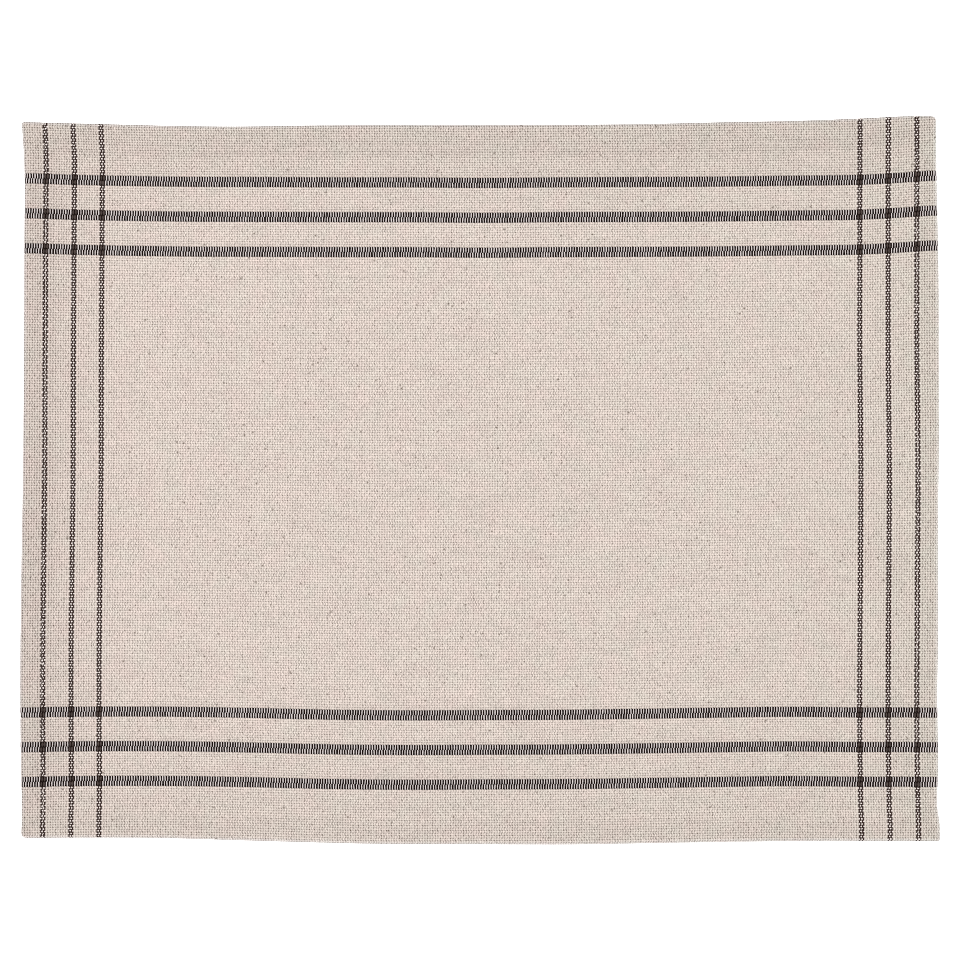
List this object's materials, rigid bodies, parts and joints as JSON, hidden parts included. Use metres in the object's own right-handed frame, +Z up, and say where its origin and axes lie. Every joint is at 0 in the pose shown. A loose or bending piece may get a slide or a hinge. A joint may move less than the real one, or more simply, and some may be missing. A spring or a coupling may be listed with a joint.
{
  "type": "fabric placemat",
  "caption": "Flat rectangular cloth placemat of coarse plain weave, with a turned hem all round and dark woven border lines that cross at the corners.",
  "frame": {"origin": "middle of the mat's footprint, on the surface it lies on", "axes": "+X along the mat's long side, +Y along its short side towards the top edge of the picture, +Z up out of its upper side"},
  "size_m": [0.452, 0.3578, 0.003],
  "materials": {
    "cloth": "coarse undyed cotton weave with near-black border yarns, matt"
  },
  "bodies": {
    "root": {"placemat": "cloth"}
  },
  "joints": []
}
